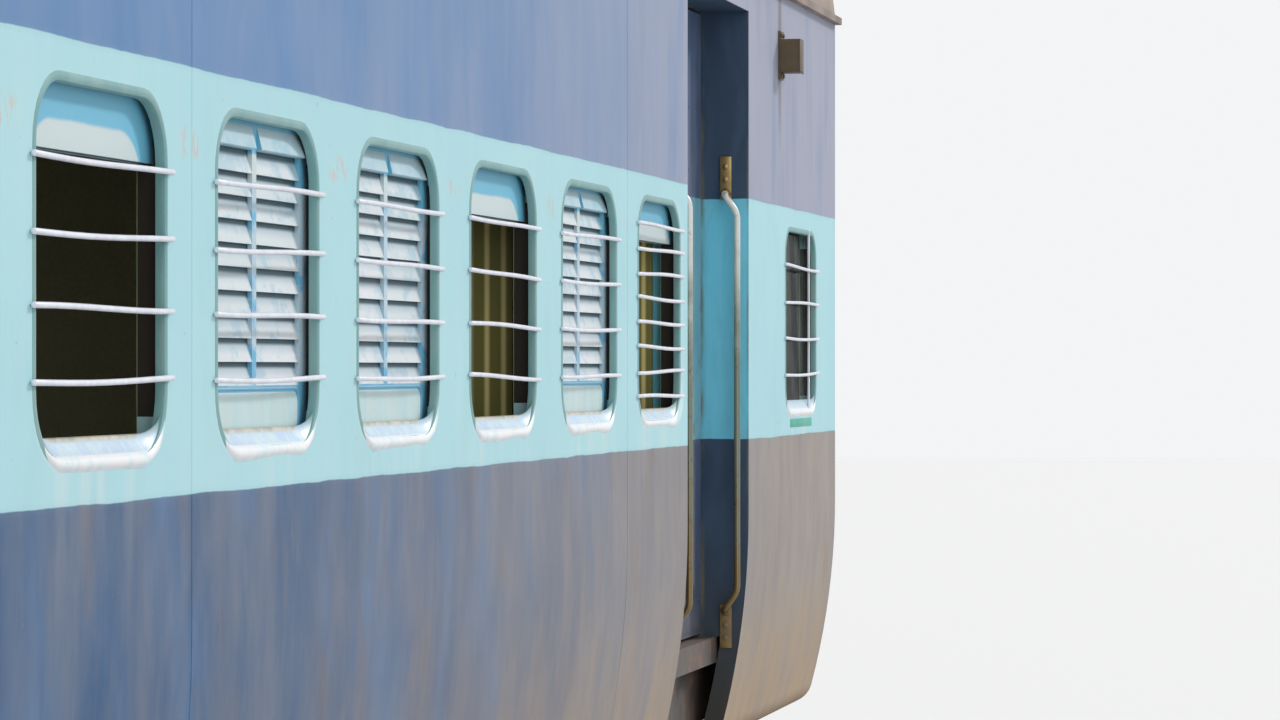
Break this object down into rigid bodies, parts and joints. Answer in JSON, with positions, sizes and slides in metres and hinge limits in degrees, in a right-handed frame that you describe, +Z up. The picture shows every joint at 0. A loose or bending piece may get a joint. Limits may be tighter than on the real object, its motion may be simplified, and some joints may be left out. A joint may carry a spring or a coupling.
{
  "type": "passenger coach",
  "caption": "Broad gauge sleeper coach with barred windows, recessed doors, gangways and sprung bogies",
  "frame": {"origin": "under the middle of the coach, at the lowest point of the wheel flanges", "axes": "X along the coach towards the end that the picture shows, Y across it towards the side that the picture hides, Z up"},
  "size_m": [22.297, 3.3916, 4.062],
  "materials": {
    "body_paint": "faded lilac blue paint with a turquoise band at window height, streaked with dirt",
    "portal_paint": "navy blue paint, turquoise at window height, worn at the edges",
    "door_paint": "faded blue paint, dusty",
    "roof_paint": "dusty grey brown paint",
    "ventilator_paint": "dusty grey brown paint",
    "gutter_paint": "dark weathered paint",
    "bar_paint": "off white paint",
    "louvre_paint": "green blue paint, dusty",
    "sash_metal": "dull anodised",
    "window_glass": "dusty clear glass",
    "handrail_paint": "worn pale paint",
    "bracket_paint": "dark brown paint",
    "board_paint": "yellow paint, blank",
    "frame_paint": "black paint under brown dust",
    "draw_steel": "oily black steel",
    "casing_paint": "black paint under brown dust",
    "buffer_steel": "dark greased steel",
    "bellows_canvas": "dusty black canvas rubber",
    "faceplate_steel": "worn black paint",
    "step_steel": "worn and dusty",
    "floor_steel": "brown dusty paint",
    "panel_laminate": "tan laminate",
    "berth_paint": "grey paint",
    "pad_vinyl": "blue vinyl",
    "box_paint": "black paint under brown dust",
    "tank_paint": "black paint under brown dust",
    "chute_iron": "rusty",
    "bogie_paint": "black paint under brown brake dust",
    "spring_steel": "dark dusty steel",
    "axle_box_iron": "cast, brown dust",
    "brake_iron": "cast, rusty",
    "wheel_steel": "rusty web with a bright tread",
    "axle_steel": "dusty turned steel"
  },
  "bodies": {
    "coach": {"side_wall_left": "body_paint", "side_wall_right": "body_paint", "corner_panels": "body_paint", "end_wall_front": "body_paint", "end_wall_rear": "body_paint", "door_portals": "portal_paint", "roof": "roof_paint", "roof_ventilators": "ventilator_paint", "rain_gutters": "gutter_paint", "window_bars_left": "bar_paint", "window_bars_right": "bar_paint", "louvre_shutters": "louvre_paint", "glass_sashes": "sash_metal", "window_panes": "window_glass", "door_handrails": "handrail_paint", "lamp_brackets": "bracket_paint", "route_boards": "board_paint", "underframe": "frame_paint", "draw_gear": "draw_steel", "buffer_casings": "casing_paint", "buffer_heads": "buffer_steel", "gangway_bellows": "bellows_canvas", "gangway_faceplates": "faceplate_steel", "footsteps": "step_steel", "trough_floor": "floor_steel", "vestibule_partitions": "panel_laminate", "lavatory_walls": "panel_laminate", "bay_partitions": "panel_laminate", "berth_frames": "berth_paint", "berth_pads": "pad_vinyl", "battery_boxes": "box_paint", "brake_equipment": "tank_paint", "lavatory_chutes": "chute_iron"},
    "bogie_front": {"bogie_front_frame": "bogie_paint", "bogie_front_bolster": "bogie_paint", "bogie_front_spring_plank": "bogie_paint", "bogie_front_springs": "spring_steel", "bogie_front_axle_boxes": "axle_box_iron", "bogie_front_brake_gear": "brake_iron"},
    "wheelset_front_outer": {"wheels_front_outer": "wheel_steel", "axle_front_outer": "axle_steel"},
    "wheelset_front_inner": {"wheels_front_inner": "wheel_steel", "axle_front_inner": "axle_steel"},
    "leaf_front_right": {"door_front_right": "door_paint"},
    "leaf_front_left": {"door_front_left": "door_paint"},
    "bogie_rear": {"bogie_rear_frame": "bogie_paint", "bogie_rear_bolster": "bogie_paint", "bogie_rear_spring_plank": "bogie_paint", "bogie_rear_springs": "spring_steel", "bogie_rear_axle_boxes": "axle_box_iron", "bogie_rear_brake_gear": "brake_iron"},
    "wheelset_rear_outer": {"wheels_rear_outer": "wheel_steel", "axle_rear_outer": "axle_steel"},
    "wheelset_rear_inner": {"wheels_rear_inner": "wheel_steel", "axle_rear_inner": "axle_steel"},
    "leaf_rear_right": {"door_rear_right": "door_paint"},
    "leaf_rear_left": {"door_rear_left": "door_paint"}
  },
  "joints": [
    {"name": "bogie_front_swivel", "type": "hinge", "parent": "coach", "child": "bogie_front", "pos_m": [7.3915, 0, 0.93], "axis": [0, 0, 1], "range_deg": [-3, 3]},
    {"name": "wheelset_front_outer_roll", "type": "hinge", "parent": "bogie_front", "child": "wheelset_front_outer", "pos_m": [8.8395, 0, 0.486], "axis": [0, 1, 0], "continuous": true},
    {"name": "wheelset_front_inner_roll", "type": "hinge", "parent": "bogie_front", "child": "wheelset_front_inner", "pos_m": [5.9435, 0, 0.486], "axis": [0, 1, 0], "continuous": true},
    {"name": "door_front_right_swing", "type": "hinge", "parent": "coach", "child": "leaf_front_right", "pos_m": [8.9705, -1.4165, 2.3], "axis": [0, 0, -1], "range_deg": [0, 85]},
    {"name": "door_front_left_swing", "type": "hinge", "parent": "coach", "child": "leaf_front_left", "pos_m": [8.9705, 1.4165, 2.3], "axis": [0, 0, 1], "range_deg": [0, 85]},
    {"name": "bogie_rear_swivel", "type": "hinge", "parent": "coach", "child": "bogie_rear", "pos_m": [-7.3915, 0, 0.93], "axis": [0, 0, 1], "range_deg": [-3, 3]},
    {"name": "wheelset_rear_outer_roll", "type": "hinge", "parent": "bogie_rear", "child": "wheelset_rear_outer", "pos_m": [-8.8395, 0, 0.486], "axis": [0, 1, 0], "continuous": true},
    {"name": "wheelset_rear_inner_roll", "type": "hinge", "parent": "bogie_rear", "child": "wheelset_rear_inner", "pos_m": [-5.9435, 0, 0.486], "axis": [0, 1, 0], "continuous": true},
    {"name": "door_rear_right_swing", "type": "hinge", "parent": "coach", "child": "leaf_rear_right", "pos_m": [-8.9705, -1.4165, 2.3], "axis": [0, 0, 1], "range_deg": [0, 85]},
    {"name": "door_rear_left_swing", "type": "hinge", "parent": "coach", "child": "leaf_rear_left", "pos_m": [-8.9705, 1.4165, 2.3], "axis": [0, 0, -1], "range_deg": [0, 85]}
  ]
}
